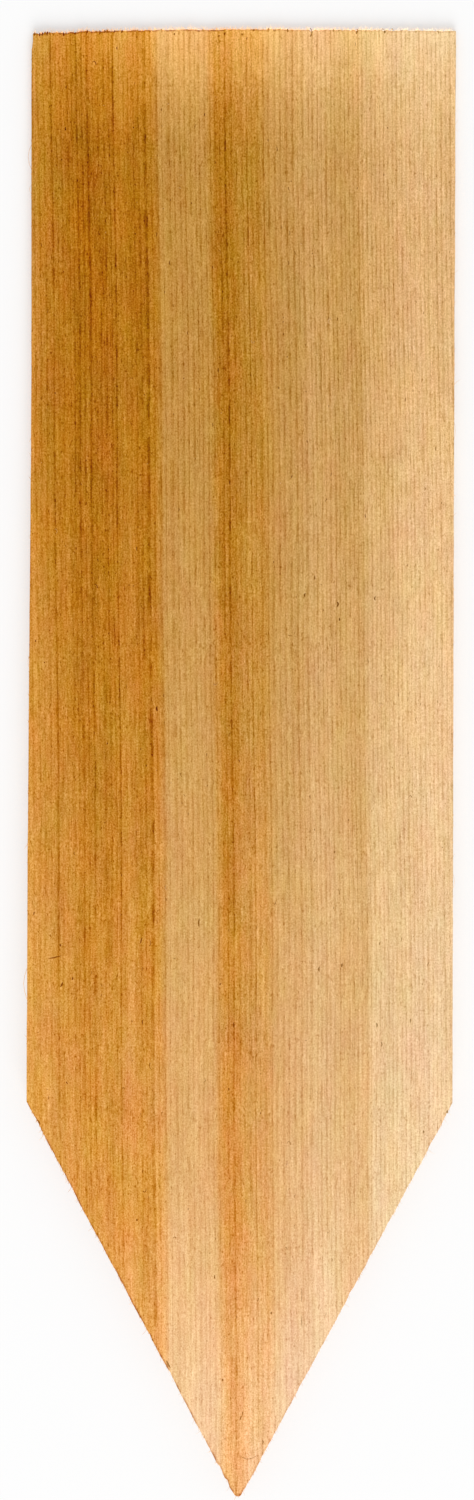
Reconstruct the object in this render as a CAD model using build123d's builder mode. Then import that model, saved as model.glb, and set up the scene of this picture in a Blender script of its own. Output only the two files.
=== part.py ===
from build123d import *
from math import radians, sin, tan
import os

# A tapersawn cedar shingle with a pointed butt, lying on its flat back.
# X runs across the grain, Y along it towards the thin end, Z up from the back.
# The origin is on the back, at the middle of the shingle's width and length.

# Plan
width = 127.0  # across the two parallel edges, 5 inches
length = 438.5  # from the blunt point to the crown of the thin end
point_angle = 56.4  # degrees between the two slanting cuts
tip_radius = 1.3  # the point is worn blunt
shoulder_radius = 2.0  # where a slanting cut meets a parallel edge
corner_radius = 0.8  # at the thin end's two corners

# The thin end is a shallow arch, sawn a little askew
crown_x = 4.0  # where the shingle is longest
left_drop = 1.3  # from the crown down to the left corner
right_drop = 0.5  # from the crown down to the right corner

# Thickness, measured from the flat back
butt_thickness = 11.4  # at the point, 0.45 inch
thin_thickness = 2.3  # at the thin end, 3/32 inch

half_width = width / 2
crown_y = length / 2
tip_y = -length / 2

# The slanting cuts would meet at the apex, a little past the blunt point
half_angle = radians(point_angle / 2)
apex_y = tip_y - tip_radius * (1 / sin(half_angle) - 1)
shoulder_y = apex_y + half_width / tan(half_angle)

left_corner = (-half_width, crown_y - left_drop)
right_corner = (half_width, crown_y - right_drop)
crown = (crown_x, crown_y)

with BuildPart() as shingle:
    # Side view: a wedge with a flat back and one sloping face
    with BuildSketch(Plane.YZ):
        with BuildLine():
            Polyline(
                (tip_y, 0),
                (crown_y, 0),
                (crown_y, thin_thickness),
                (tip_y, butt_thickness),
                close=True,
            )
        make_face()
    extrude(amount=half_width, both=True)

    # Plan view: the slanting cuts, the parallel edges and the arched thin end
    with BuildSketch() as plan:
        with BuildLine():
            FilletPolyline(
                left_corner,
                (-half_width, shoulder_y),
                (0, apex_y),
                (half_width, shoulder_y),
                right_corner,
                radius=(shoulder_radius, tip_radius, shoulder_radius),
            )
            TangentArc(crown, left_corner, tangent=(-1, 0))
            TangentArc(crown, right_corner, tangent=(1, 0))
        make_face()
        for edge_vertices in (plan.vertices().group_by(Axis.X)[0], plan.vertices().group_by(Axis.X)[-1]):
            fillet(edge_vertices.sort_by(Axis.Y)[-1], radius=corner_radius)
    extrude(amount=butt_thickness, mode=Mode.INTERSECT)

shingle.part.label = "shingle"

os.makedirs("parts", exist_ok=True)
export_step(shingle.part, "parts/shingle.step")
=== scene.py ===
import math

import bpy
import numpy as np
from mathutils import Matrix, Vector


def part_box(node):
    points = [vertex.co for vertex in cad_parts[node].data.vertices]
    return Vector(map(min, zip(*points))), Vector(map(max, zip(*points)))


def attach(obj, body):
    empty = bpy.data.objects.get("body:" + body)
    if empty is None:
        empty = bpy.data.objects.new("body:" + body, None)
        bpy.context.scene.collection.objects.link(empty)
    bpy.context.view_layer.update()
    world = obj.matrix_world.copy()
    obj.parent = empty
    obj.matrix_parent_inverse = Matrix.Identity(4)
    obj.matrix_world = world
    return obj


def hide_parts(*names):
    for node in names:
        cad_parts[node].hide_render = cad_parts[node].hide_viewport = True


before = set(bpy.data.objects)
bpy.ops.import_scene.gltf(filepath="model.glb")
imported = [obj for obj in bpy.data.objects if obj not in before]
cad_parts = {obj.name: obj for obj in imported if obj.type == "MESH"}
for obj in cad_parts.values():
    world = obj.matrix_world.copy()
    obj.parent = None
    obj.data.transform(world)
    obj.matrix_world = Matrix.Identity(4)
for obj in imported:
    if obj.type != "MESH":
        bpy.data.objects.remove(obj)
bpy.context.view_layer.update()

# Shapes are worked out in millimetres and become metres when the mesh is made.
mm = 0.001
low, high = (np.array(corner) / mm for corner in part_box("shingle"))
halfWidth = (high[0] - low[0]) / 2
tipY, crownY = low[1], high[1]
buttThickness = high[2]

board = {
    "thinThickness": 2.3,  # at the thin end, mm
    "pointAngle": 56.4,  # between the two slanting cuts, degrees
    "tipRound": 0.78,  # how blunt the point is, mm
    "crownX": 4.0,  # where the thin end's arch is highest
    "leftDrop": 1.5,  # from the crown down to the left corner
    "rightDrop": 0.15,
    "fringe": 0.48,  # the thin end's solid wood stops this far short, and only fuzz reaches on
    "leftBow": (0.44, 99.0, 75.0),  # inward by, middle, reach along the edge
    "rightBow": (0.16, 60.0, 110.0),
    "cornerChip": (0.35, 5.0, 1.5),  # off the left corner at the thin end: depth, length, blend
    "arris": 0.18,  # worn off every sawn edge
    "columns": 350,
    "rows": 120,
    "insets": (0.0, 0.2, 0.5, 1.0, 1.8, 3.0),  # closer rows and columns near the edges
    "wallSteps": 5,
    "ringRelief": 0.018,  # late wood stands this much proud of early wood
    "sawRelief": 0.022,
    "cutFuzz": 0.16,  # raggedness of the slanting cuts
    "cutWaves": (0.7, 2.6, 9.0),  # and the size of its noises, mm
    "endFuzz": 0.19,  # and of the thin end
    "endWaves": (0.8, 3.4),
    "sideFuzz": 0.05,  # and of the long edges
    "leftWaves": (9.0, 31.0),
    "rightWaves": (8.0, 27.0),
    "wallWaves": (1.3, 0.8),  # on the walls: along them and upwards
    "wallFuzz": (0.03, 0.08),  # on the long edges, and so much more on the sawn ends
    "seed": 7,
}

saw = {
    "axle": (420.0, -60.0),  # the middle of its round marks
    "spacing": 0.9,  # mm for each radian
    "wander": (30.0, 2.0),  # mm, radians
    "fading": 7.0,  # mm over which its marks come and go
}

grain = {
    "slant": 0.0165,  # the grain leans this much across for each mm along
    "tilt": 0.21,  # and this much for each mm of depth
    "bend": (1.3, 60.0, 210.0, 1.3),  # and more towards the butt: mm, from y, over mm, power
    "waves": ((0.08, 61.0), (0.2, 23.0)),  # mm aside, mm along for each radian
    "ringWidth": 1.60,  # mm
    "extraRings": 5.0,  # more rings in the right-hand third, which are narrower
    "extraFrom": 22.0,
    "extraOver": 44.0,
    # slow changes of width: share of a ring, mm across for each radian, where it starts
    "goodYears": ((0.22, 5.3, 1.0), (0.10, 2.9, 4.0)),
    "uneven": 0.2,  # how far one year's ring differs from the next, as a share of a ring
    "unevenOver": 1.7,  # mm
}


def hashed(i, j, seed):
    # The fractional part of a large sine of two whole numbers: a fixed random value, 0 to 1.
    big = np.sin(i * 127.1 + j * 311.7 + seed * 74.7) * 43758.5453
    return big - np.floor(big)


def smoothNoise(a, b, seed):
    # Random values at whole a and b, joined by 3t^2 - 2t^3 both ways, from -1 to 1.
    a, b = np.broadcast_arrays(np.asarray(a, float), np.asarray(b, float))
    i, j = np.floor(a), np.floor(b)
    s, t = a - i, b - j
    s, t = s * s * (3 - 2 * s), t * t * (3 - 2 * t)
    near = hashed(i, j, seed) * (1 - s) + hashed(i + 1, j, seed) * s
    far = hashed(i, j + 1, seed) * (1 - s) + hashed(i + 1, j + 1, seed) * s
    return 2 * (near * (1 - t) + far * t) - 1


def smoothStep(t):
    # 3t^2 - 2t^3, held at 0 below t = 0 and at 1 above t = 1.
    t = np.clip(t, 0, 1)
    return t * t * (3 - 2 * t)


def bump(t):
    # A bell curve, 1 at t = 0 and almost 0 past 2.
    return np.exp(-t * t)


def faceHeight(y):
    # The face falls in a straight line from the butt's thickness to the thin end's.
    share = (y - tipY) / (crownY - tipY)
    return buttThickness + (board["thinThickness"] - buttThickness) * share


def acrossGrain(x, y, z):
    # x, leaning with the distance along the grain and with the depth below the face, plus a
    # power curve towards the butt and a slow wave along the board. In mm, about -64 to 64.
    aside, start, over, power = grain["bend"]
    bend = aside * np.maximum((start - y) / over, 0) ** power
    (slow, slowLength), (quick, quickLength) = grain["waves"]
    wave = slow * np.sin(y / slowLength + 0.6) + quick * np.sin(y / quickLength + x / 40.0)
    return x + grain["slant"] * y + grain["tilt"] * (z - faceHeight(y)) + bend + wave


def ringNumber(across):
    # Distance across divided by the ring width, with more rings towards the right,
    # and slow sines and a noise so that good and bad years differ.
    extra = grain["extraRings"] * smoothStep((across - grain["extraFrom"]) / grain["extraOver"])
    years = sum(size * np.sin(across / over + start) for size, over, start in grain["goodYears"])
    years = years + grain["uneven"] * smoothNoise(across / grain["unevenOver"], 0, 41)
    return 60 + across / grain["ringWidth"] + extra + years


def lateWood(ring):
    # Rises slowly through the year and drops quickly at its end, 0 to 1.
    part = ring - np.floor(ring)
    return np.where(part < 0.8, (part / 0.8) ** 3, 1 - smoothStep((part - 0.8) / 0.2))


def alongEdge(y, bow, waves, place, seed):
    # How far a long edge bows inwards, by a bell curve, and how ragged it is, by two noises.
    depth, middle, reach = bow
    short, long = waves
    rough = smoothNoise(y / short, place, seed) + 0.7 * smoothNoise(y / long, place + 3, seed)
    return depth * bump((y - middle) / reach), board["sideFuzz"] * rough


def leftEdge(y, seed=board["seed"]):
    # The half width, less the bow, and less the chip near the corner by a smooth step.
    chip, chipLength, blend = board["cornerChip"]
    bow, rough = alongEdge(y, board["leftBow"], board["leftWaves"], 0, seed)
    torn = chip * smoothStep((y - crownY + chipLength + blend) / blend)
    return -halfWidth + bow + torn + rough


def rightEdge(y, seed=board["seed"]):
    bow, rough = alongEdge(y, board["rightBow"], board["rightWaves"], 1, seed)
    return halfWidth - bow + rough


nicks = {
    # each one: x on the butt's cuts or on the thin end, depth and half width, mm
    "butt": (
        (-60.0, 0.5, 0.9), (-26.3, 0.45, 0.4), (-20.2, 0.7, 0.45), (-19.0, 0.35, 0.7),
        (-5.0, 0.7, 0.5), (-3.0, 0.9, 0.4), (1.4, 0.4, 0.4), (33.0, 0.4, 0.6), (57.0, 0.4, 0.8),
    ),
    "thin": (
        (-61.5, 0.3, 0.6), (-53.5, 0.35, 0.9), (-50.5, 0.25, 0.5), (-35.0, 0.2, 0.6),
        (20.2, 0.75, 0.45), (33.6, 0.4, 0.35), (42.0, 0.35, 0.4),
    ),
}


def cutIn(x, places):
    # The sum of a bell curve for each nick.
    return sum(depth * bump((x - at) / half) for at, depth, half in places)


def buttEdge(x, seed=board["seed"]):
    # Two straight cuts joined at the blunt point: the fourth root of x and the bluntness,
    # each to the fourth power, over the tangent of half the point's angle. Noises make them
    # ragged, less so at the point.
    slope = 1 / math.tan(math.radians(board["pointAngle"] / 2))
    blunt = board["tipRound"]
    line = tipY + ((x ** 4 + blunt ** 4) ** 0.25 - blunt) * slope
    short, middle, long = board["cutWaves"]
    fine = 0.6 * smoothNoise(x / short, 0, seed) + 0.6 * smoothNoise(x / middle, 5, seed)
    rough = board["cutFuzz"] * slope * (fine + 0.4 * smoothNoise(x / long, 9, seed))
    calm = np.clip(np.abs(x) / 3.0 + 0.4, 0, 1)
    return line + (rough + cutIn(x, nicks["butt"])) * calm


def thinEdge(x, seed=board["seed"]):
    # A flat parabola falling from the crown to each corner, each with its own drop.
    crown = board["crownX"]
    left = board["leftDrop"] * ((x - crown) / (halfWidth + crown)) ** 2
    right = board["rightDrop"] * ((x - crown) / (halfWidth - crown)) ** 2
    short, long = board["endWaves"]
    rough = 0.7 * smoothNoise(x / short, 2, seed) + 0.5 * smoothNoise(x / long, 6, seed)
    arch = crownY - board["fringe"] - np.where(x < crown, left, right)
    return arch + board["endFuzz"] * rough - cutIn(x, nicks["thin"])


def gridSteps(count, size):
    # Shares from 0 to 1: the insets at both ends, and even steps between them.
    inset = np.array(board["insets"]) / size
    middle = np.linspace(inset[-1], 1 - inset[-1], count - 2 * len(inset) + 2)
    return np.concatenate([inset[:-1], middle, 1 - inset[-2::-1]])


def planGrid(seed):
    # u runs across and v along: x goes from the left edge to the right one with u, y from
    # the butt to the thin end with v. The arris is left out, all round.
    u = gridSteps(board["columns"], 2 * halfWidth)[:, None]
    v = gridSteps(board["rows"], crownY - tipY)[None, :]
    arris = board["arris"]
    x = -halfWidth + 2 * halfWidth * u + 0 * v
    start = buttEdge(x, seed) + arris / math.sin(math.radians(board["pointAngle"] / 2))
    y = start + (thinEdge(x, seed) - arris - start) * v
    left, right = leftEdge(y, seed) + arris, rightEdge(y, seed) - arris
    return left + (right - left) * u, y


def boundary(grid):
    # The grid's rim, counterclockwise from the left end of the butt's row.
    return np.concatenate([grid[:, 0], grid[-1, 1:], grid[-2::-1, -1], grid[0, -2:0:-1]])


def sawMarks(x, y):
    # The round saw leaves wide shallow arcs: a sine of the distance from its far-off axle,
    # that wanders and fades by noises.
    radius = np.hypot(x - saw["axle"][0], y - saw["axle"][1])
    size, amount = saw["wander"]
    wander = amount * smoothNoise(x / size, y / size, 21)
    fading = 0.5 + 0.5 * smoothNoise(radius / saw["fading"], 0, 22)
    return np.sin(radius / saw["spacing"] + wander) * fading


def sheet(seed, back):
    # The face or the back: the plan grid at its height, with rings and saw marks on it.
    # On the back they stand down from a plane that never goes below the floor.
    x, y = planGrid(seed)
    z = np.zeros_like(y) if back else faceHeight(y)
    late, marks = lateWood(ringNumber(acrossGrain(x, y, z))), sawMarks(x, y)
    if back:
        return x, y, board["ringRelief"] * 0.8 * (1 - late) + board["sawRelief"] * (1 + marks)
    return x, y, z + board["ringRelief"] * (late - 0.6) + board["sawRelief"] * (0.5 * marks - 0.7)


def smoothed(values):
    # A quarter of each neighbour and a half of the value itself, round the rim.
    return (np.roll(values, 1) + 2 * values + np.roll(values, -1)) / 4


def outward(x, y):
    # Across the rim: the smoothed direction of travel, turned a quarter to the right.
    alongX, alongY = np.roll(x, -1) - np.roll(x, 1), np.roll(y, -1) - np.roll(y, 1)
    size = np.hypot(alongX, alongY)
    outX, outY = smoothed(alongY / size), smoothed(-alongX / size)
    size = np.hypot(outX, outY)
    return outX / size, outY / size


def walls(face, back):
    # Round the rim and down: a quarter circle out over the arris, straight down, and a
    # quarter circle in again. The sawn surface wavers by a noise of length and height.
    (rimX, rimY, rimZ), (footX, footY, footZ) = face, back
    outX, outY = outward(rimX, rimY)
    turn = np.radians([30.0, 60.0, 90.0])
    out = board["arris"] * np.sin(turn)
    down = board["arris"] * (1 - np.cos(turn))
    straight = np.linspace(0, 1, board["wallSteps"] + 2)[1:-1]
    share = np.concatenate([[0, 0, 0], straight, [1, 1, 1]])[:, None]
    push = np.concatenate([out, board["arris"] + 0 * straight, out[::-1]])[:, None]
    step = np.concatenate([-down, board["arris"] * (2 * straight - 1), down[::-1]])[:, None]
    z = rimZ * (1 - share) + footZ * share + step
    length = np.cumsum(np.hypot(np.diff(rimX, prepend=rimX[0]), np.diff(rimY, prepend=rimY[0])))
    sawn = smoothStep(np.abs(outY) / 0.4)
    (along, up), (edgeFuzz, sawnFuzz) = board["wallWaves"], board["wallFuzz"]
    waver = smoothNoise(length / along, z / up, 31) * (edgeFuzz + sawnFuzz * sawn)
    push = push + waver * np.sin(np.pi * share)
    x = rimX * (1 - share) + footX * share + outX * push
    y = rimY * (1 - share) + footY * share + outY * push
    return x, y, z, length


def boardMesh():
    # The face, the back and the walls that join their rims.
    face, back = sheet(board["seed"], False), sheet(board["seed"] + 1, True)
    rims = [[boundary(part) for part in side] for side in (face, back)]
    wallX, wallY, wallZ, length = walls(*rims)
    columns, rows = face[0].shape
    count = columns * rows
    index = np.arange(count).reshape(columns, rows)
    rim = boundary(index)
    wallIndex = 2 * count + np.arange(wallZ.size).reshape(wallZ.shape)
    ladder = np.concatenate([rim[None], wallIndex, rim[None] + count])
    after = np.roll(ladder, -1, axis=1)
    wallQuads = np.stack([ladder[1:], after[1:], after[:-1], ladder[:-1]], -1)
    quads = [sheetQuads(index, False), sheetQuads(index, True) + count, wallQuads.reshape(-1, 4)]
    sides = zip(face, back, (wallX, wallY, wallZ))
    points = [np.concatenate([part.ravel() for part in parts]) for parts in sides]
    maps = [
        sheetMap(face, (0.002, 0.50))[quads[0].ravel()],
        sheetMap(back, (0.51, 0.80))[quads[1].ravel() - count],
        wallMap(columns, rows, length, len(ladder)),
    ]
    points = np.stack(points, -1)
    points[:, 2] = np.maximum(points[:, 2], 0)
    return points, np.concatenate(quads), np.concatenate(maps)


def sheetQuads(index, turned):
    # A quad for each square of the grid, turned to face down on the back.
    a, b, c, d = index[:-1, :-1], index[1:, :-1], index[1:, 1:], index[:-1, 1:]
    order = [a, d, c, b] if turned else [a, b, c, d]
    return np.stack(order, -1).reshape(-1, 4)


def sheetMap(side, span):
    # Straight down onto the board, with its width across span and its length up the map.
    u = span[0] + (span[1] - span[0]) * np.clip((side[0].ravel() / halfWidth + 1) / 2, 0, 1)
    v = 0.002 + 0.996 * np.clip((side[1].ravel() - tipY) / (crownY - tipY), 0, 1)
    return np.stack([u, v], -1)


def wallMap(columns, rows, length, levels):
    # Four upright strips beside the sheets: the cuts, the right edge, the thin end and the
    # left edge, each with its length up the map and its thickness across it.
    starts = np.array([0, columns - 1, columns + rows - 2, 2 * columns + rows - 3, len(length)])
    # where each strip lies on the map: its left, its bottom and its top
    spans = ((0.81, 0.002, 0.66), (0.87, 0.002, 0.998), (0.81, 0.68, 0.998), (0.93, 0.002, 0.998))
    stripWidth = 0.052
    ends = np.append(length, length[-1] + 1.0)
    k = np.arange(len(length))
    which = np.searchsorted(starts, k, side="right") - 1
    left, bottom, top = np.array(spans)[which].T
    first, last = ends[starts[which]], ends[starts[which + 1]]
    here = bottom + (top - bottom) * (ends[k] - first) / (last - first)
    there = bottom + (top - bottom) * (ends[k + 1] - first) / (last - first)
    across = left + np.arange(levels)[:, None] / (levels - 1) * stripWidth
    hereUv = np.stack([across, here + 0 * across], -1)
    thereUv = np.stack([across, there + 0 * across], -1)
    return np.stack([hereUv[1:], thereUv[1:], thereUv[:-1], hereUv[:-1]], 2).reshape(-1, 2)


def addObject(name, data):
    thing = bpy.data.objects.new(name, data)
    bpy.context.scene.collection.objects.link(thing)
    return thing


def makeMesh(name, points, quads):
    # Points in mm and quads become one smooth mesh in metres.
    mesh = bpy.data.meshes.new(name)
    mesh.vertices.add(len(points))
    mesh.vertices.foreach_set("co", (points * mm).astype(np.float32).ravel())
    mesh.loops.add(quads.size)
    mesh.loops.foreach_set("vertex_index", quads.astype(np.int32).ravel())
    mesh.polygons.add(len(quads))
    mesh.polygons.foreach_set("loop_start", np.arange(len(quads), dtype=np.int32) * quads.shape[1])
    mesh.polygons.foreach_set("use_smooth", np.ones(len(quads), bool))
    mesh.update(calc_edges=True)
    mesh.validate()
    piece = addObject(name, mesh)
    addValues(piece, "across", acrossGrain(points[:, 0], points[:, 1], points[:, 2]))
    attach(piece, "root")
    print(name + ":", len(points), "points,", len(quads), "quads")
    return piece


def addValues(piece, name, values):
    # One number for each point, which the materials read by its name.
    layer = piece.data.attributes.new(name, "FLOAT", "POINT")
    layer.data.foreach_set("value", np.asarray(values, np.float32).ravel())


def fromSawnEnd(x, y, z):
    # Square to the slanting cuts, and straight down from the thin end: the nearer, in mm.
    # On the sawn ends themselves it is the depth below the face or above the back, as a
    # number below zero.
    fromCuts = (y - buttEdge(x)) * math.sin(math.radians(board["pointAngle"] / 2))
    nearer = np.minimum(fromCuts, thinEdge(x) - y)
    depth = np.minimum(faceHeight(y) - z, z)
    onWall = np.arange(len(x)) >= 2 * board["columns"] * board["rows"]
    sawnWall, farthest = 0.8, 9  # mm
    return np.where(onWall & (nearer < sawnWall), -depth, np.clip(nearer, 0, farthest))


def makeBoard():
    points, quads, uv = boardMesh()
    piece = makeMesh("shingleWood", points, quads)
    x, y, z = points.T
    addValues(piece, "ring", ringNumber(acrossGrain(x, y, z)))
    addValues(piece, "inset", fromSawnEnd(x, y, z))
    layer = piece.data.uv_layers.new(name="OFBake")
    layer.uv.foreach_set("vector", uv.astype(np.float32).ravel())
    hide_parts("shingle")
    return piece


# Fibres, sawdust and flecks are thin closed tubes along many short paths

def tubesAlong(paths, thickness, sides=4, flat=1.0):
    # Round each path, at every step: its place, plus the radius times the cosine along a
    # level side vector and times the sine, flattened, along the one square to it.
    along = np.gradient(paths, axis=1)
    along = along / np.linalg.norm(along, axis=-1, keepdims=True)
    side = np.cross(along, (0.01, 0.02, 1.0))
    side = side / np.linalg.norm(side, axis=-1, keepdims=True)
    up = np.cross(along, side)
    turn = 2 * np.pi * np.arange(sides) / sides
    ring = side[:, :, None] * np.cos(turn)[:, None] + flat * up[:, :, None] * np.sin(turn)[:, None]
    points = paths[:, :, None] + thickness[:, :, None, None] / 2 * ring
    index = np.arange(points[..., 0].size).reshape(points.shape[:3])
    after = np.roll(index, -1, axis=2)
    quads = [np.stack([index[:, :-1], after[:, :-1], after[:, 1:], index[:, 1:]], -1).reshape(-1, 4)]
    for k in range(1, sides - 2, 2):
        quads.append(index[:, -1][:, [0, k, k + 1, k + 2]])
        quads.append(index[:, 0][:, [0, k + 2, k + 1, k]])
    return points.reshape(-1, 3), np.concatenate(quads)


def makeTubes(name, paths, thickness, shade, sides=4, flat=1.0):
    points, quads = tubesAlong(paths, thickness, sides, flat)
    points[:, 2] = np.maximum(points[:, 2], 0)
    piece = makeMesh(name, points, quads)
    addValues(piece, "shade", np.repeat(shade, paths.shape[1] * sides))
    return piece


def taper(count, steps, thickness, tip=0.25):
    # From full thickness at the root down to the tip's share of it, by the square.
    t = np.linspace(0, 1, steps)
    return thickness[:, None] * (1 - (1 - tip) * t * t) + np.zeros((count, steps))


fibres = {
    "atCuts": 900,  # along the two slanting cuts
    "atThinEnd": 2200,
    "atSides": 220,
    "length": (0.25, 1.35),  # mm
    "shortness": 4,  # the power that makes most of them short
    "thickness": (0.055, 0.12),
    "lean": (0.5, 0.1, 0.3),  # how far one leans for each mm, along x, y and z
    "curl": (0.4, 0.1, 0.35),
    "offEdge": 0.22,  # how far those on the long edges lean outwards
    "sunk": 0.3,  # its root inside the wood
    "clearOfCorners": 0.8,
    "steps": 5,
    "thinEndPaler": 1.3,  # added to the shade of those on the thin end
    # slivers that stand off a long edge: side, from y, to y, how far out, thickness
    "slivers": (
        (-1, 184.0, 176.6, 1.05, 0.09), (-1, 172.0, 169.2, 0.6, 0.07),
        (-1, -62.0, -71.6, 1.1, 0.11), (-1, 31.0, 27.5, 0.4, 0.07),
        (1, 96.0, 101.5, 0.45, 0.07), (1, -38.0, -33.5, 0.5, 0.08),
    ),
    "seed": 11,
}


def fibreRoots(random):
    # Places on the edges, and the way the grain leaves each: (0, -1) at the butt's cuts,
    # (0, 1) at the thin end, and either way at the long edges, with a push outwards.
    cuts, ends, sides = fibres["atCuts"], fibres["atThinEnd"], fibres["atSides"]
    sunk = fibres["sunk"]
    reach = halfWidth - fibres["clearOfCorners"]
    cutX = random.uniform(-1, 1, cuts) * reach
    endX = random.uniform(-1, 1, ends) * reach
    shoulderY = buttEdge(halfWidth)
    sideY = random.uniform(shoulderY, crownY - 2, sides)
    side = np.where(random.random(sides) < 0.5, -1.0, 1.0)
    sideX = np.where(side < 0, leftEdge(sideY) + 0.06, rightEdge(sideY) - 0.06)
    x = np.concatenate([cutX, endX, sideX])
    y = np.concatenate([buttEdge(cutX) + sunk, thinEdge(endX) - sunk, sideY])
    sideWay = np.where(random.random(sides) < 0.5, -1.0, 1.0)
    wayX = np.concatenate([np.zeros(cuts + ends), fibres["offEdge"] * side])
    wayY = np.concatenate([-np.ones(cuts), np.ones(ends), sideWay])
    # half of them along the upper arris, some along the lower one, the rest anywhere
    pick, place = random.random(len(x)), random.random(len(x))
    share = np.where(pick < 0.5, 1 - 0.12 * place, np.where(pick < 0.7, 0.1 * place, place))
    return np.stack([x, y, share * (faceHeight(y) - 0.1)], -1), np.stack([wayX, wayY, 0 * x], -1)


def makeFibres():
    # Each fibre runs along the grain, leaning by a random amount and curling by a
    # parabola: root + reach t + curl t^2. A sliver is a straight line plus a sine outwards.
    random = np.random.default_rng(fibres["seed"])
    root, way = fibreRoots(random)
    count, steps = len(root), fibres["steps"]
    short, long = fibres["length"]
    length = (short + (long - short) * random.random(count) ** fibres["shortness"])[:, None]
    lean = random.normal(0, 1, (count, 3)) * fibres["lean"]
    curl = random.normal(0, 1, (count, 3)) * fibres["curl"]
    t = np.linspace(0, 1, steps)[:, None]
    reach = way * (length + fibres["sunk"]) + lean * length
    paths = root[:, None] + reach[:, None] * t + (curl * length)[:, None] * t * t
    thickness = random.uniform(*fibres["thickness"], count)

    side, start, end, out, thick = (np.array(part) for part in zip(*fibres["slivers"]))
    t = np.linspace(0, 1, steps)
    y = start[:, None] + (end - start)[:, None] * t
    left, right = leftEdge(y) + 0.05, rightEdge(y) - 0.05
    edge = np.where(side[:, None] < 0, left, right)
    arch = np.sin(np.pi * t)
    x = edge + (side * out)[:, None] * arch
    slivers = np.stack([x, y, faceHeight(y) - 0.35 + 0.2 * arch], -1)

    sliverThickness = thick[:, None] + np.zeros((len(thick), steps))
    thickness = np.concatenate([taper(count, steps, thickness), sliverThickness])
    paths = np.concatenate([paths, slivers])
    offFloor = 0.06
    paths[..., 2] = np.maximum(paths[..., 2], offFloor)
    shade = random.random(len(paths))
    shade[fibres["atCuts"]:][:fibres["atThinEnd"]] += fibres["thinEndPaler"]
    return makeTubes("edgeFibres", paths, thickness, shade)


dust = {
    # curled shavings on the face: x, y, radius, how far round in degrees, turned by
    "curls": (
        (26.1, 131.4, 0.55, 230, 40), (3.1, 125.4, 0.50, 200, 160),
        (-55.6, 68.3, 0.50, 190, 300), (58.7, 71.0, 0.45, 210, 80),
        (-7.7, 23.2, 0.60, 160, 210), (41.9, 16.3, 0.50, 220, 20),
        (-22.0, -38.0, 0.45, 180, 120), (14.0, -120.0, 0.45, 200, 250),
    ),
    "curlThickness": 0.17,
    "curlRise": 0.22,  # how far its middle stands off the face
    "crumbs": 70,
    "crumbLength": (0.18, 0.55),
    "crumbGirth": (0.12, 0.50),  # at its ends and in its middle, for each mm of length
    "steps": 6,
    "seed": 23,
}
edgeGap = 2  # mm between the outline and whatever is scattered on the face


def clearOfButt(x, y):
    return y > buttEdge(x) + 2 * edgeGap


def onFace(random, count):
    # Random places on the face, inside its outline.
    x = random.uniform(-halfWidth + edgeGap, halfWidth - edgeGap, 3 * count)
    y = random.uniform(tipY, crownY - edgeGap, 3 * count)
    inside = clearOfButt(x, y)
    return x[inside][:count], y[inside][:count]


def makeSawdust():
    # Curls are arcs that rise by a sine in their middle. Crumbs are short thick spindles.
    random = np.random.default_rng(dust["seed"])
    t = np.linspace(0, 1, dust["steps"])
    x, y, radius, sweep, turned = (np.array(part)[:, None] for part in zip(*dust["curls"]))
    angle = np.radians(turned + sweep * t)
    curlX, curlY = x + radius * np.cos(angle), y + 1.3 * radius * np.sin(angle)
    curlZ = faceHeight(curlY) + 0.05 + dust["curlRise"] * np.sin(np.pi * t)
    curls = np.stack([curlX, curlY, curlZ], -1)
    curlThickness = dust["curlThickness"] * (1 - 0.5 * t * t) + 0 * x

    x, y = (part[:, None] for part in onFace(random, dust["crumbs"]))
    length = random.uniform(*dust["crumbLength"], len(x))[:, None]
    angle = random.uniform(0, np.pi, len(x))[:, None]
    crumbX = x + length * (t - 0.5) * np.cos(angle)
    crumbY = y + length * (t - 0.5) * np.sin(angle)
    crumbs = np.stack([crumbX, crumbY, faceHeight(crumbY) + 0.04], -1)
    endGirth, middleGirth = dust["crumbGirth"]
    crumbThickness = length * (endGirth + (middleGirth - endGirth) * np.sin(np.pi * t))

    paths = np.concatenate([curls, crumbs])
    thickness = np.concatenate([curlThickness, crumbThickness])
    return makeTubes("sawdust", paths, thickness, random.random(len(paths)), sides=6, flat=0.6)


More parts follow.
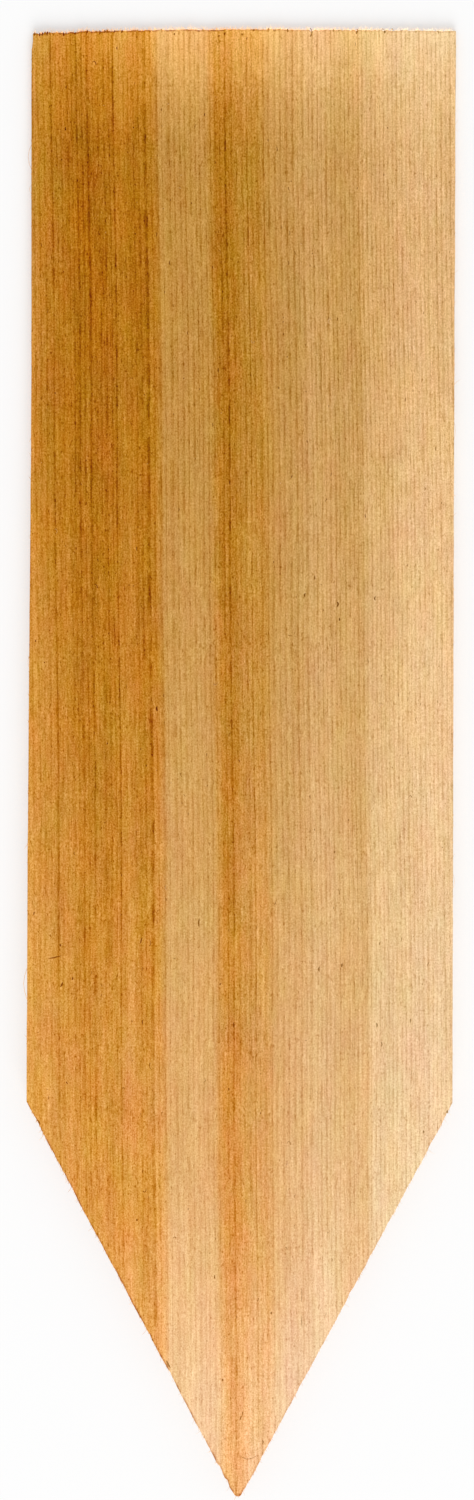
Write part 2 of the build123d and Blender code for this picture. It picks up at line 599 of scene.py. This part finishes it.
flecks = {
    # torn spots, pits and scratches on the face: x, y, length, width, degrees from the grain
    "listed": (
        (28.5, 46.8, 1.6, 0.32, 3), (29.3, 42.3, 0.9, 0.28, 0),
        (19.0, 49.5, 1.2, 0.30, 8), (40.0, 48.6, 1.3, 0.26, 0),
        (-25.0, 15.4, 1.5, 0.34, -6), (-12.2, -48.4, 2.6, 0.30, 0),
        (-29.5, -53.8, 1.8, 0.26, 12), (23.7, -62.1, 1.5, 0.30, 0),
        (30.4, -60.9, 1.2, 0.28, 5), (-1.8, -78.8, 1.6, 0.30, 0),
        (40.7, -78.7, 1.3, 0.30, -5), (50.9, -77.3, 1.2, 0.28, 0),
        (-7.1, -153.8, 1.2, 0.25, 0), (9.7, -164.5, 0.8, 0.32, 0),
        (18.7, -159.1, 4.2, 0.14, 1), (18.9, -167.0, 3.6, 0.13, -1),
        (-4.7, -184.4, 0.9, 0.32, 10), (0.7, -195.7, 1.6, 0.24, 20),
        (1.3, -194.3, 1.2, 0.18, -15), (7.1, -202.8, 1.2, 0.30, 0),
        (62.0, -104.4, 0.9, 0.34, 0), (54.9, -110.4, 1.0, 0.30, 0),
        (-37.8, 213.0, 1.0, 0.22, 0), (-55.2, -58.8, 3.9, 0.24, 78),
        (-53.7, -55.3, 0.7, 0.34, 0), (3.0, -206.8, 5.1, 0.12, 90),
        (-59.8, -108.0, 1.8, 0.34, -28), (-20.8, -179.8, 2.6, 0.34, -28),
        (-25.6, -172.6, 0.9, 0.30, -28), (-53.2, -67.0, 1.6, 0.30, 25),
        (-50.0, -65.2, 0.9, 0.30, 0), (-30.4, -137.0, 0.7, 0.34, 0),
        (-20.7, 217.3, 0.7, 0.30, 0), (-7.4, 216.8, 0.8, 0.26, 8),
        (-5.5, 217.4, 0.9, 0.34, 10), (-0.4, 217.3, 0.7, 0.30, 0),
        (0.9, 216.1, 0.8, 0.18, 20),
    ),
    "listedWider": 1.45,  # times the widths above
    # dark spots just inside the thin end, each at an x
    "notches": (
        -62.6, -61.9, -61.1, -60.2, -59.4, -58.7, -58.0, -54.8, -53.9, -53.1, -50.4,
        -47.4, -46.9, -44.0, -43.2, -41.6, -40.9, -38.7, -36.5, -31.8, -28.0, -24.6,
        -17.0, -12.2, 3.0, 7.5, 13.1, 20.4, 26.8, 33.7, 42.1, 51.5, 58.2,
    ),
    "notchInside": 0.25,
    "notchLength": (0.6, 1.3),
    "notchWidth": (0.35, 0.6),
    "notchLean": 12,  # degrees
    # dark curls that stand in the thin end: x, y, radius, where they start, how far round
    "endCurls": (
        (19.6, 218.0, 1.3, -70, 150), (9.3, 218.9, 0.6, 190, 160),
        (41.6, 218.5, 0.65, 30, 140), (44.4, 218.7, 0.45, 10, 160),
        (33.8, 218.5, 0.5, -30, 170), (-33.0, 218.2, 0.45, 180, 170),
        (-41.0, 218.0, 0.5, 20, 150), (-49.6, 217.9, 0.55, 200, 140),
    ),
    "listedShade": 0.25,  # the share of all shades that the listed ones take, from the darkest
    "scattered": 320,
    "lean": 9,  # degrees
    "bow": 0.10,
    "mostly": 0.7,  # the share that lies on a dark line, and of the hooks on the lower half
    "hooks": 60,  # curled dark hairs
    "hookRadius": (0.35, 1.1),
    "hookSweep": (50.0, 170.0),  # degrees
    "onLine": 0.86,  # the part of a ring that most of them lie in
    "length": (0.35, 1.5),
    "width": (0.14, 0.31),
    "sunk": 0.005,
    "steps": 6,
    "seed": 31,
}


def ontoLine(x, y):
    # The nearest x where the ring number has the dark line's fraction, read off a fine table
    # of ring numbers across the board.
    table = np.linspace(-1.1, 1.1, 4000) * halfWidth
    across = acrossGrain(x, y, faceHeight(y))
    wanted = np.round(ringNumber(across) - flecks["onLine"]) + flecks["onLine"]
    return x + np.interp(wanted, ringNumber(table), table) - across


def makeFlecks():
    # Low spindles lying in the face: a straight path bowed by a sine, as thick as the square
    # root of a sine.
    random = np.random.default_rng(flecks["seed"])
    x, y, length, width, angle = (np.array(part, float) for part in zip(*flecks["listed"]))
    notchX = np.array(flecks["notches"])
    count = len(notchX)
    notchY = thinEdge(notchX) - flecks["notchInside"]
    someX, someY = onFace(random, flecks["scattered"])
    some = len(someX)
    someX = np.where(random.random(some) < flecks["mostly"], ontoLine(someX, someY), someX)
    short, long = flecks["length"]
    x = np.concatenate([x, notchX, someX])[:, None]
    y = np.concatenate([y, notchY, someY])[:, None]
    someLength = short + (long - short) * random.random(some) ** 2
    notchLength = random.uniform(*flecks["notchLength"], count)
    length = np.concatenate([length, notchLength, someLength])[:, None]
    notchWidth = random.uniform(*flecks["notchWidth"], count)
    someWidth = random.uniform(*flecks["width"], some)
    width = np.concatenate([width * flecks["listedWider"], notchWidth, someWidth])
    notchAngle = random.normal(0, flecks["notchLean"], count)
    someAngle = random.normal(0, flecks["lean"], some)
    angle = np.concatenate([angle, notchAngle, someAngle])[:, None]
    t = np.linspace(0, 1, flecks["steps"])
    wayX, wayY = np.sin(np.radians(angle)), np.cos(np.radians(angle))
    bow = random.normal(0, flecks["bow"], len(x))[:, None] * length * np.sin(np.pi * t)
    pathX = x + length * (t - 0.5) * wayX + bow * wayY
    pathY = y + length * (t - 0.5) * wayY - bow * wayX
    thickness = width[:, None] * np.sqrt(0.03 + 0.97 * np.sin(np.pi * t))

    # a hook is an arc: its centre plus the radius times the cosine and sine of a sweep
    hookX, hookY = onFace(random, flecks["hooks"])
    lower = random.random(len(hookX)) < flecks["mostly"]
    hookY = np.where(lower, -np.abs(hookY) * 0.8, hookY)
    hookX = np.where(clearOfButt(hookX, hookY), hookX, hookX * 0.3)
    radius = random.uniform(*flecks["hookRadius"], len(hookX))[:, None]
    sweep = random.uniform(*flecks["hookSweep"], len(hookX))[:, None]
    angle = np.radians(random.uniform(0, 360, len(hookX))[:, None] + sweep * t)
    curls = (np.array(part)[:, None] for part in zip(*flecks["endCurls"]))
    curlX, curlY, curlRadius, start, turn = curls
    hookX = np.concatenate([hookX[:, None], curlX])
    hookY = np.concatenate([hookY[:, None], curlY])
    radius = np.concatenate([radius, curlRadius])
    angle = np.concatenate([angle, np.radians(start + turn * t)])
    pathX = np.concatenate([pathX, hookX + 0.6 * radius * np.cos(angle)])
    pathY = np.concatenate([pathY, hookY + radius * np.sin(angle)])
    hookWidth = random.uniform(*flecks["width"], len(hookX))
    thickness = np.concatenate([thickness, taper(len(hookX), len(t), hookWidth, 0.4)])
    paths = np.stack([pathX, pathY, faceHeight(pathY) - flecks["sunk"]], -1)
    shade = random.random(len(paths))
    shade[:len(flecks["listed"])] *= flecks["listedShade"]
    return makeTubes("flecks", paths, thickness, shade, sides=6, flat=0.35)


# Materials

class Wires:
    # Small helpers that add a node and wire it in one line.
    def __init__(self, name):
        self.material = bpy.data.materials.new(name)
        self.material.use_nodes = True
        self.tree = self.material.node_tree
        self.shader = self.tree.nodes["Principled BSDF"]

    def put(self, socket, value):
        if isinstance(value, bpy.types.NodeSocket):
            self.tree.links.new(value, socket)
        else:
            socket.default_value = value

    def node(self, kind):
        return self.tree.nodes.new("ShaderNode" + kind)

    def fill(self, node, *values):
        # the node's first sockets, in their order
        for socket, value in zip(node.inputs, values):
            self.put(socket, value)

    def attribute(self, name):
        node = self.node("Attribute")
        node.attribute_name = name
        return node.outputs["Fac"]

    def places(self):
        # y and z in mm
        node = self.node("TexCoord")
        split = self.node("SeparateXYZ")
        self.put(split.inputs[0], node.outputs["Object"])
        return [self.times(split.outputs[axis], 1000.0) for axis in ("Y", "Z")]

    def math(self, operation, a, b=0.0, c=0.0):
        node = self.node("Math")
        node.operation = operation
        self.fill(node, a, b, c)
        return node.outputs[0]

    def times(self, a, b):
        return self.math("MULTIPLY", a, b)

    def timesPlus(self, a, b, c):
        # a times b, plus c
        return self.math("MULTIPLY_ADD", a, b, c)

    def range(self, value, fromLow, fromHigh, toLow=0.0, toHigh=1.0, smooth=False):
        node = self.node("MapRange")
        node.interpolation_type = "SMOOTHSTEP" if smooth else "LINEAR"
        self.fill(node, value, fromLow, fromHigh, toLow, toHigh)
        return node.outputs["Result"]

    def place(self, x, y, z):
        node = self.node("CombineXYZ")
        self.fill(node, x, y, z)
        return node.outputs[0]

    def noise(self, place, detail=2.0, rough=0.5, output="Fac"):
        node = self.node("TexNoise")
        node.inputs["Scale"].default_value = 1.0
        node.inputs["Detail"].default_value = detail
        node.inputs["Roughness"].default_value = rough
        self.put(node.inputs["Vector"], place)
        return node.outputs[output]

    def chance(self, value):
        # one random number for each whole value
        node = self.node("TexWhiteNoise")
        node.noise_dimensions = "1D"
        self.put(node.inputs["W"], value)
        return node.outputs["Value"]

    def ramp(self, value, stops):
        node = self.node("ValToRGB")
        elements = node.color_ramp.elements
        while len(elements) < len(stops):
            elements.new(1.0)
        for element, (position, colour) in zip(elements, stops):
            element.position = position
            element.color = (*np.broadcast_to(colour, 3), 1.0)
        self.put(node.inputs["Fac"], value)
        return node.outputs["Color"]

    def mix(self, blend, amount, a, b):
        node = self.node("Mix")
        node.data_type = "RGBA"
        node.blend_type = blend
        node.clamp_result = False
        node.clamp_factor = False
        self.put(node.inputs["Factor"], amount)
        for socket, value in ((node.inputs[6], a), (node.inputs[7], b)):
            self.put(socket, value if isinstance(value, bpy.types.NodeSocket) else (*value, 1.0))
        return node.outputs[2]

    def lift(self, colour, value, weights=(1.0, 1.0, 1.0)):
        # the value added to red, green and blue, by their weights
        parts = [self.times(value, weight) for weight in weights]
        return self.mix("ADD", 1.0, colour, self.place(*parts))

    def finish(self, colour, roughness, height=None):
        # Colours are mixed as a screen shows them, and turned to light here.
        linear = self.node("Gamma")
        linear.inputs["Gamma"].default_value = 2.2
        self.put(linear.inputs["Color"], colour)
        self.put(self.shader.inputs["Base Color"], linear.outputs[0])
        self.put(self.shader.inputs["Roughness"], roughness)
        self.shader.inputs["Specular IOR Level"].default_value = 0.05
        if height is not None:
            relief = self.node("Bump")
            relief.inputs["Distance"].default_value = 0.012 * mm
            self.put(relief.inputs["Height"], height)
            self.put(self.shader.inputs["Normal"], relief.outputs[0])
        print("material:", self.material.name, "with", len(self.tree.nodes), "nodes")
        return self.material


cedar = {
    # the woods that one board shows, as on a screen, 0 to 255: half-way along, and at the point,
    # where all are paler, partly in the wood's own colour and partly as painted light, brighter
    # towards the point. Last, how strongly lines show in each.
    "woods": {
        "umber": ((182, 115, 27), (246, 177, 98), 0.96),
        "russet": ((192, 127, 40), (254, 183, 112), 0.92),
        "amber": ((208, 141, 59), (255, 192, 105), 0.9),
        "sienna": ((186, 124, 39), (244, 171, 99), 0.95),
        "ochre": ((195, 138, 57), (249, 185, 123), 0.88),
        "chaff": ((200, 147, 74), (246, 191, 133), 0.74),
        "straw": ((200, 147, 74), (254, 201, 145), 0.71),
        "flax": ((202, 152, 83), (254, 203, 154), 0.74),
        "honey": ((213, 163, 99), (255, 213, 164), 0.73),
        "wheat": ((209, 160, 93), (255, 209, 158), 0.74),
        "cream": ((225, 177, 115), (255, 224, 180), 0.76),
        "ivory": ((237, 190, 133), (255, 223, 182), 0.80),
    },
    # where each is at its purest, mm across
    "bands": (
        (-62.5, "amber"), (-56.0, "russet"), (-46.0, "umber"), (-37.5, "umber"),
        (-33.0, "russet"), (-30.0, "umber"), (-24.3, "russet"), (-21.5, "straw"),
        (-11.5, "straw"), (-8.1, "chaff"), (-5.1, "sienna"), (-1.2, "sienna"),
        (2.4, "ochre"), (7.4, "ochre"), (10.2, "straw"), (14.0, "flax"),
        (18.0, "flax"), (22.0, "honey"), (27.5, "honey"), (30.5, "wheat"),
        (37.0, "wheat"), (39.3, "cream"), (44.0, "cream"), (53.0, "ivory"),
        (63.0, "ivory"),
    ),
    "wander": 1.1,  # how far a border strays, mm
    # where it goes from its middle colour to that of the point, partly the wood's own paling and
    # partly painted light: from y, to y, power
    "towardsButt": (140.0, -219.0, 1.35),
    "towardsThin": (182.0, 219.0, 1.3),  # it also pales in a short stretch at the thin end
    "thinLift": (0.95, 0.43, 0.25),
    # round the point it pales once more, again partly painted light
    "aroundTip": (-130.0, -200.0),  # and once more round the point
    "tipLift": (0.75, 0.25, 0.21),
    "paleToDark": (0.78, 0.95),  # how strongly lines show in the palest and the darkest woods
    # single dark years: mm across, strength
    "darkYears": (
        (-47.6, 0.7), (-43.0, 1.0), (-39.5, 1.1), (-34.5, 0.5), (-29.5, 0.5),
        (-24.6, 0.8), (-5.2, 0.5), (-1.7, 0.4), (2.4, 0.6), (9.2, 0.8),
        (13.0, 0.45), (18.0, 0.5), (29.5, 0.4), (36.8, 0.6), (41.3, 0.4),
    ),
    "darkYearReach": 0.42,  # mm to either side
    # how the right-hand wood pales and darkens along the board: y in mm, share of white
    "swing": (
        (-205, 0.02), (-130, 0.02), (-80, -0.005), (15, 0.018),
        (95, 0.0), (160, -0.028), (215, -0.008),
    ),
    # noise drawn out along the grain: mm wide, mm long, detail, roughness, taken from where
    "streaks": {
        "border": (1.6, 40.0, 2.0, 0.5, 0.0),
        "patch": (6.0, 20.0, 3.0, 0.65, 12.5),
        "shake": (0.9, 3.0, 2.0, 0.5, 5.0),
        "yearWander": (2.0, 24.0, 2.0, 0.5, 60.0),
        "yearBreaks": (2.0, 12.0, 3.0, 0.5, 70.0),
        "broad": (2.4, 60.0, 2.0, 0.5, 9.0),
        "fine": (0.56, 11.0, 2.0, 0.6, 21.0),
        "hair": (0.34, 4.2, 2.0, 0.6, 33.0),
        "speck": (0.40, 0.50, 1.0, 0.6, 47.0),
        "pit": (0.42, 1.1, 0.0, 0.5, 81.0),
        "rim": (1.7, 6.0, 3.0, 0.65, 90.0),
    },
    "shake": 0.24,  # how far a ring's line shakes, as a share of a ring
    "yearWander": 1.6,  # mm
    # how dark the wood is through one year, from spring to winter
    "throughYear": ((0.0, 0.15), (0.12, 0.0), (0.52, 0.12), (0.76, 0.92), (0.89, 1.0), (1.0, 0.15)),
    "beads": (3.17, 6.0, 0.15),  # apart from year to year, mm along the grain, for each mm of depth
    # how much darker or lighter each makes the wood, as a share of white
    "line": 0.16,
    "year": 0.075,
    "broad": 0.11,
    "fine": 0.16,
    "hair": 0.27,
    "speck": 0.40,
    "pit": 0.14,
    "patch": 0.060,
    "endTone": (0.76, 0.63, 0.53),  # the sawn ends, times the wood's own tone
    "blush": (0.02, 0.08, 0.10),  # the pinker stretch of the left edge
}
rampSpan = 128.0  # mm across the grain that a ramp covers, half on either side of the middle


def bandStops(part, top):
    # One stop for each band: its place, and one of its wood's three values over its top value.
    woods = cedar["woods"]
    return [(at / rampSpan + 0.5, np.array(woods[wood][part]) / top) for at, wood in cedar["bands"]]


def byWood(w, depth, pale, dark):
    # One value in the pale woods and another in the dark ones.
    return w.range(depth, *cedar["paleToDark"], pale, dark)


def woodTone(w, across, y):
    # The band's colour, paler towards the point, partly as the wood's own colour and partly as
    # painted light, and paler at the thin end. Beside it, how strongly lines show in that wood, and
    # how near the point the place is, 0 to 1.
    share = w.timesPlus(across, 1 / rampSpan, 0.5)
    middle, butt, depth = (w.ramp(share, bandStops(*part)) for part in ((0, 255), (1, 255), (2, 1)))
    start, end, power = cedar["towardsButt"]
    towardsButt = w.math("POWER", w.range(y, start, end), power)
    start, end, power = cedar["towardsThin"]
    towardsThin = w.math("POWER", w.range(y, start, end), power)
    towardsThin = w.times(towardsThin, w.range(across, -62.0, -22.0, 0.42, 1.0))
    towardsThin = w.times(towardsThin, byWood(w, depth, 1.0, 0.85))
    aroundTip = w.range(y, *cedar["aroundTip"], smooth=True)
    aroundTip = w.times(aroundTip, w.range(across, -34.0, 0.0, 0.6, 1.0))
    aroundTip = w.times(aroundTip, byWood(w, depth, 1.0, 0.65))
    # paler towards the point: partly the wood's own colour, partly painted light
    colour = w.mix("MIX", towardsButt, middle, butt)
    colour = w.mix("SCREEN", towardsThin, colour, cedar["thinLift"])
    # paler again round the point: partly painted light
    colour = w.mix("SCREEN", aroundTip, colour, cedar["tipLift"])
    return colour, depth, towardsButt


def cedarMaterial():
    w = Wires("cedar")
    across, ring, inset = (w.attribute(name) for name in ("across", "ring", "inset"))
    y, z = w.places()

    def streaks(name, output="Fac"):
        wide, long, detail, rough, shift = cedar["streaks"][name]
        x = w.timesPlus(across, 1 / wide, shift)
        place = w.place(x, w.times(y, 1 / long), w.times(z, 1 / wide))
        return w.noise(place, detail, rough, output)

    def around(noise, size):
        # Noise about a half becomes noise about zero, times its size.
        return w.timesPlus(noise, size, -size / 2)

    ragged = w.math("ADD", across, around(streaks("border"), cedar["wander"]))
    tone, depth, towardsButt = woodTone(w, ragged, y)

    # patches that lean to red or to olive
    patches = streaks("patch", "Color")
    mottled = w.times(w.times(depth, depth), cedar["patch"])
    colour = w.mix("LINEAR_LIGHT", mottled, tone, patches)

    # growth rings: a dark line at the end of each, every one with its own strength, broken
    # into beads along the grain
    shaky = w.math("ADD", ring, around(streaks("shake"), cedar["shake"]))
    year = w.math("FLOOR", shaky)
    late = w.ramp(w.math("FRACT", shaky), cedar["throughYear"])
    strength = w.range(w.math("POWER", w.chance(year), 1.8), 0.0, 1.0, 0.35, 1.4)
    alike = w.range(depth, 0.92, 0.78, 0.0, 0.75)  # the pale woods' rings differ less
    strength = w.timesPlus(alike, w.math("SUBTRACT", 0.95, strength), strength)
    apart, long, deep = cedar["beads"]
    beadPlace = w.place(w.times(year, apart), w.times(y, 1 / long), w.times(z, deep))
    beads = w.range(w.noise(beadPlace, 3.0, 0.65), 0.35, 0.7, 0.25, 1.5)
    lines = w.times(w.times(late, strength), beads)
    # fainter towards the point
    faded = w.times(lines, w.timesPlus(towardsButt, -0.40, 1.0))

    # single dark years, coming and going along the board, in two ramps as one holds 32 stops
    wavy = w.math("ADD", across, around(streaks("yearWander"), cedar["yearWander"]))
    share = w.timesPlus(wavy, 1 / rampSpan, 0.5)
    reach = cedar["darkYearReach"]
    darkYears = 0.0
    for part in (cedar["darkYears"][:8], cedar["darkYears"][8:]):
        stops = [(0.0, 0.0)]
        for at, dark in part:
            peak = ((at - reach, 0.0), (at, dark), (at + reach, 0.0))
            stops += [(x / rampSpan + 0.5, level) for x, level in peak]
        darkYears = w.math("ADD", w.ramp(share, stops), darkYears)
    breaks = w.range(streaks("yearBreaks"), 0.42, 0.62, 0.0, 1.2)
    darkYears = w.times(darkYears, breaks)

    # fibres, from broad streaks to single hairs, and torn pits
    fine, hairs, specks = (streaks(name) for name in ("fine", "hair", "speck"))
    pits = w.range(streaks("pit"), 0.68, 0.80)
    # and the right-hand wood swings slowly along the board between darker and paler
    boardSpan = 440.0
    stops = [(at / boardSpan + 0.5, 0.5 + paler) for at, paler in cedar["swing"]]
    swing = w.ramp(w.range(y, -boardSpan / 2, boardSpan / 2), stops)
    swing = w.times(w.math("SUBTRACT", swing, 0.5), w.range(across, 36.0, 48.0))
    broad = w.timesPlus(towardsButt, 0.8, 1.0)
    broad = w.times(broad, around(streaks("broad"), cedar["broad"]))
    value = w.math("ADD", broad, swing)
    for noise, size in ((fine, cedar["fine"]), (hairs, cedar["hair"]), (specks, cedar["speck"])):
        value = w.math("ADD", value, around(noise, size))
    for amount, size in ((faded, cedar["line"]), (darkYears, cedar["year"]), (pits, cedar["pit"])):
        value = w.timesPlus(amount, -size, value)
    # on pale wood and at the point they are more orange than grey: red changes less
    red = w.timesPlus(towardsButt, -0.14, byWood(w, depth, 0.93, 1.0))
    green = w.timesPlus(towardsButt, 0.05, 0.98)
    hue = (red, green, byWood(w, depth, 1.0, 1.15))
    colour = w.lift(colour, w.times(value, depth), hue)

    # the left edge is pinker in its uppermost part
    pinker = w.times(w.range(y, 110.0, 170.0), w.range(across, -58.5, -61.5))
    colour = w.mix("SCREEN", pinker, colour, cedar["blush"])

    # the sawn ends are darker, and so is a thin rim round them that comes and goes
    rim = w.range(inset, 0.75, 0.15, smooth=True)
    rim = w.times(rim, w.range(streaks("rim"), 0.40, 0.60))
    rim = w.times(rim, w.range(across, -12.0, 20.0, 1.0, 0.25))
    endGrain = w.range(inset, -0.12, -0.45)
    ringed = w.timesPlus(late, 0.40, 0.38)
    rim = w.timesPlus(endGrain, w.math("SUBTRACT", ringed, rim), rim)
    colour = w.mix("MULTIPLY", rim, colour, cedar["endTone"])

    height = w.timesPlus(lines, 0.4, w.times(fine, 0.7))
    height = w.timesPlus(hairs, 0.7, height)
    height = w.timesPlus(pits, -0.8, height)
    return w.finish(colour, w.timesPlus(fine, 0.2, 0.66), height)


smallFinishes = {
    # for each kind: this times the wood's tone, plus a share of white, spread by each one's shade
    "fibre": (0.90, 0.16, 0.20),
    "sawdust": (0.85, 0.20, 0.10),
    "fleck": (1.0, -0.26, 0.30),
}
speckle = 0.15  # how far the tone varies along one of them, as a share of white
pointFade = 0.3  # how much less they differ from the wood at the point


def smallMaterial(name):
    times, plus, spread = smallFinishes[name]
    w = Wires(name)
    y, z = w.places()
    tone, _, towardsButt = woodTone(w, w.attribute("across"), y)
    place = w.place(w.times(w.attribute("across"), 3.0), w.times(y, 2.0), z)
    value = w.timesPlus(w.attribute("shade"), spread, plus - spread / 2)
    value = w.timesPlus(w.math("SUBTRACT", w.noise(place), 0.5), speckle, value)
    value = w.times(value, w.timesPlus(towardsButt, -pointFade, 1.0))
    colour = w.lift(w.mix("MULTIPLY", 1.0, tone, (times,) * 3), value)
    return w.finish(colour, 0.8)


studio = {
    "distance": 1700.0,  # camera above the floor, mm
    "frameHeight": 449.4,  # what the picture's height shows at floor level
    "centre": (-1.15, 3.18),  # the point under the camera
    "roll": 0.0040,
    "sensor": 36.0,
    "floorSide": 4.0,  # half its width, m
    "floorLevel": -0.05,  # just under the shingle's back
    "floorColour": 0.97,
    # the share of the floor's white that the camera sees as plain white, at the picture's
    # lower end and at its upper end; its rise towards the lower end is painted light that fades
    # the shadows there, as brighter light at the butt end would
    "floorGlow": (0.75, 0.36),
    "worldStrength": 0.70,
    "windowStrength": 1.64,
    "windowSpread": 42.0,  # degrees
    "windowHeight": 34.0,  # degrees above the floor
    "windowFrom": 7.0,  # degrees to the right of the butt
}


def makeCamera():
    camera = addObject("camera", bpy.data.cameras.new("camera"))
    camera.data.sensor_width = studio["sensor"]
    camera.data.lens = studio["sensor"] * studio["distance"] / studio["frameHeight"]
    camera.location = (studio["centre"][0] * mm, studio["centre"][1] * mm, studio["distance"] * mm)
    camera.rotation_euler = (0, 0, studio["roll"])
    bpy.context.scene.camera = camera


def makeFloor():
    side, level = studio["floorSide"], studio["floorLevel"] * mm
    mesh = bpy.data.meshes.new("floor")
    corners = [(-side, -side, level), (side, -side, level), (side, side, level), (-side, side, level)]
    mesh.from_pydata(corners, [], [(0, 1, 2, 3)])
    floor = addObject("floor", mesh)
    w = Wires("paper")
    w.shader.inputs["Base Color"].default_value = (studio["floorColour"],) * 3 + (1.0,)
    w.shader.inputs["Roughness"].default_value = 1.0
    w.shader.inputs["Specular IOR Level"].default_value = 0.0
    glow = w.node("Emission")
    rays = w.node("LightPath")
    blend = w.node("MixShader")
    # more glow towards the butt end: painted light that fades the shadows there
    share = w.range(w.places()[0], -220.0, 220.0, *studio["floorGlow"])
    w.put(blend.inputs["Fac"], w.times(rays.outputs["Is Camera Ray"], share))
    w.put(blend.inputs[1], w.shader.outputs[0])
    w.put(blend.inputs[2], glow.outputs[0])
    w.put(w.tree.nodes["Material Output"].inputs["Surface"], blend.outputs[0])
    mesh.materials.append(w.material)


def makeLight():
    world = bpy.data.worlds.new("studio")
    bpy.context.scene.world = world
    world.use_nodes = True
    tree = world.node_tree
    background = tree.nodes["Background"]
    background.inputs["Color"].default_value = (1, 1, 1, 1)
    rays = tree.nodes.new("ShaderNodeLightPath")
    strength = tree.nodes.new("ShaderNodeMapRange")
    strength.inputs["To Min"].default_value = studio["worldStrength"]
    strength.inputs["To Max"].default_value = 1.0
    tree.links.new(rays.outputs["Is Camera Ray"], strength.inputs["Value"])
    tree.links.new(strength.outputs["Result"], background.inputs["Strength"])
    lamp = bpy.data.lights.new("window", "SUN")
    lamp.energy = studio["windowStrength"]
    lamp.angle = math.radians(studio["windowSpread"])
    sun = addObject("window", lamp)
    tilt = math.radians(90 - studio["windowHeight"])
    sun.rotation_euler = (tilt, 0, math.radians(studio["windowFrom"]))


bpy.context.scene.view_settings.view_transform = "Standard"
makeCamera()
makeFloor()
makeLight()
makeBoard().data.materials.append(cedarMaterial())
makeFibres().data.materials.append(smallMaterial("fibre"))
makeSawdust().data.materials.append(smallMaterial("sawdust"))
makeFlecks().data.materials.append(smallMaterial("fleck"))
